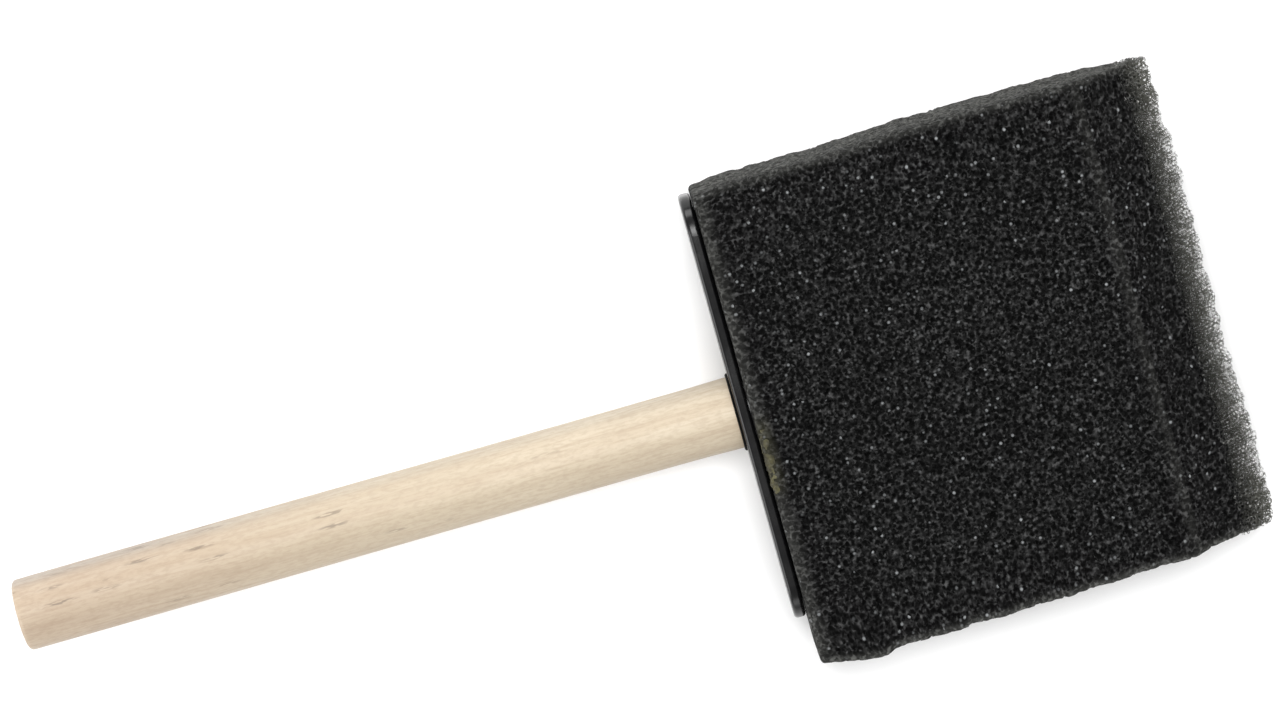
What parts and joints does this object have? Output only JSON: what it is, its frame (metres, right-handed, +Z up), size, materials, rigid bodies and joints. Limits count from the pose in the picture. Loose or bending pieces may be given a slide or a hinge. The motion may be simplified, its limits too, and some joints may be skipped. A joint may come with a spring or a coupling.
{
  "type": "foam sponge brush",
  "caption": "Disposable foam paint brush: a chisel-edged open-cell foam head glued over a moulded plastic blade with a flange, on a round wooden dowel handle.",
  "frame": {"origin": "on the surface the brush lies on, under the centre of its overall box, which is the middle of the head's width and of the brush's length", "axes": "+X along the handle from the butt towards the foam's tip, +Y across the width of the head, +Z up through the head's thickness"},
  "size_m": [0.194, 0.0762, 0.0203],
  "materials": {
    "handle_wood": "matte",
    "black_plastic": "satin",
    "charcoal_foam": "matte",
    "adhesive": "satin"
  },
  "bodies": {
    "root": {"handle_dowel": "handle_wood", "core_insert": "black_plastic", "foam_head": "charcoal_foam", "glue_film_upper": "adhesive", "glue_film_lower": "adhesive", "glue_squeeze_out": "adhesive"}
  },
  "joints": []
}
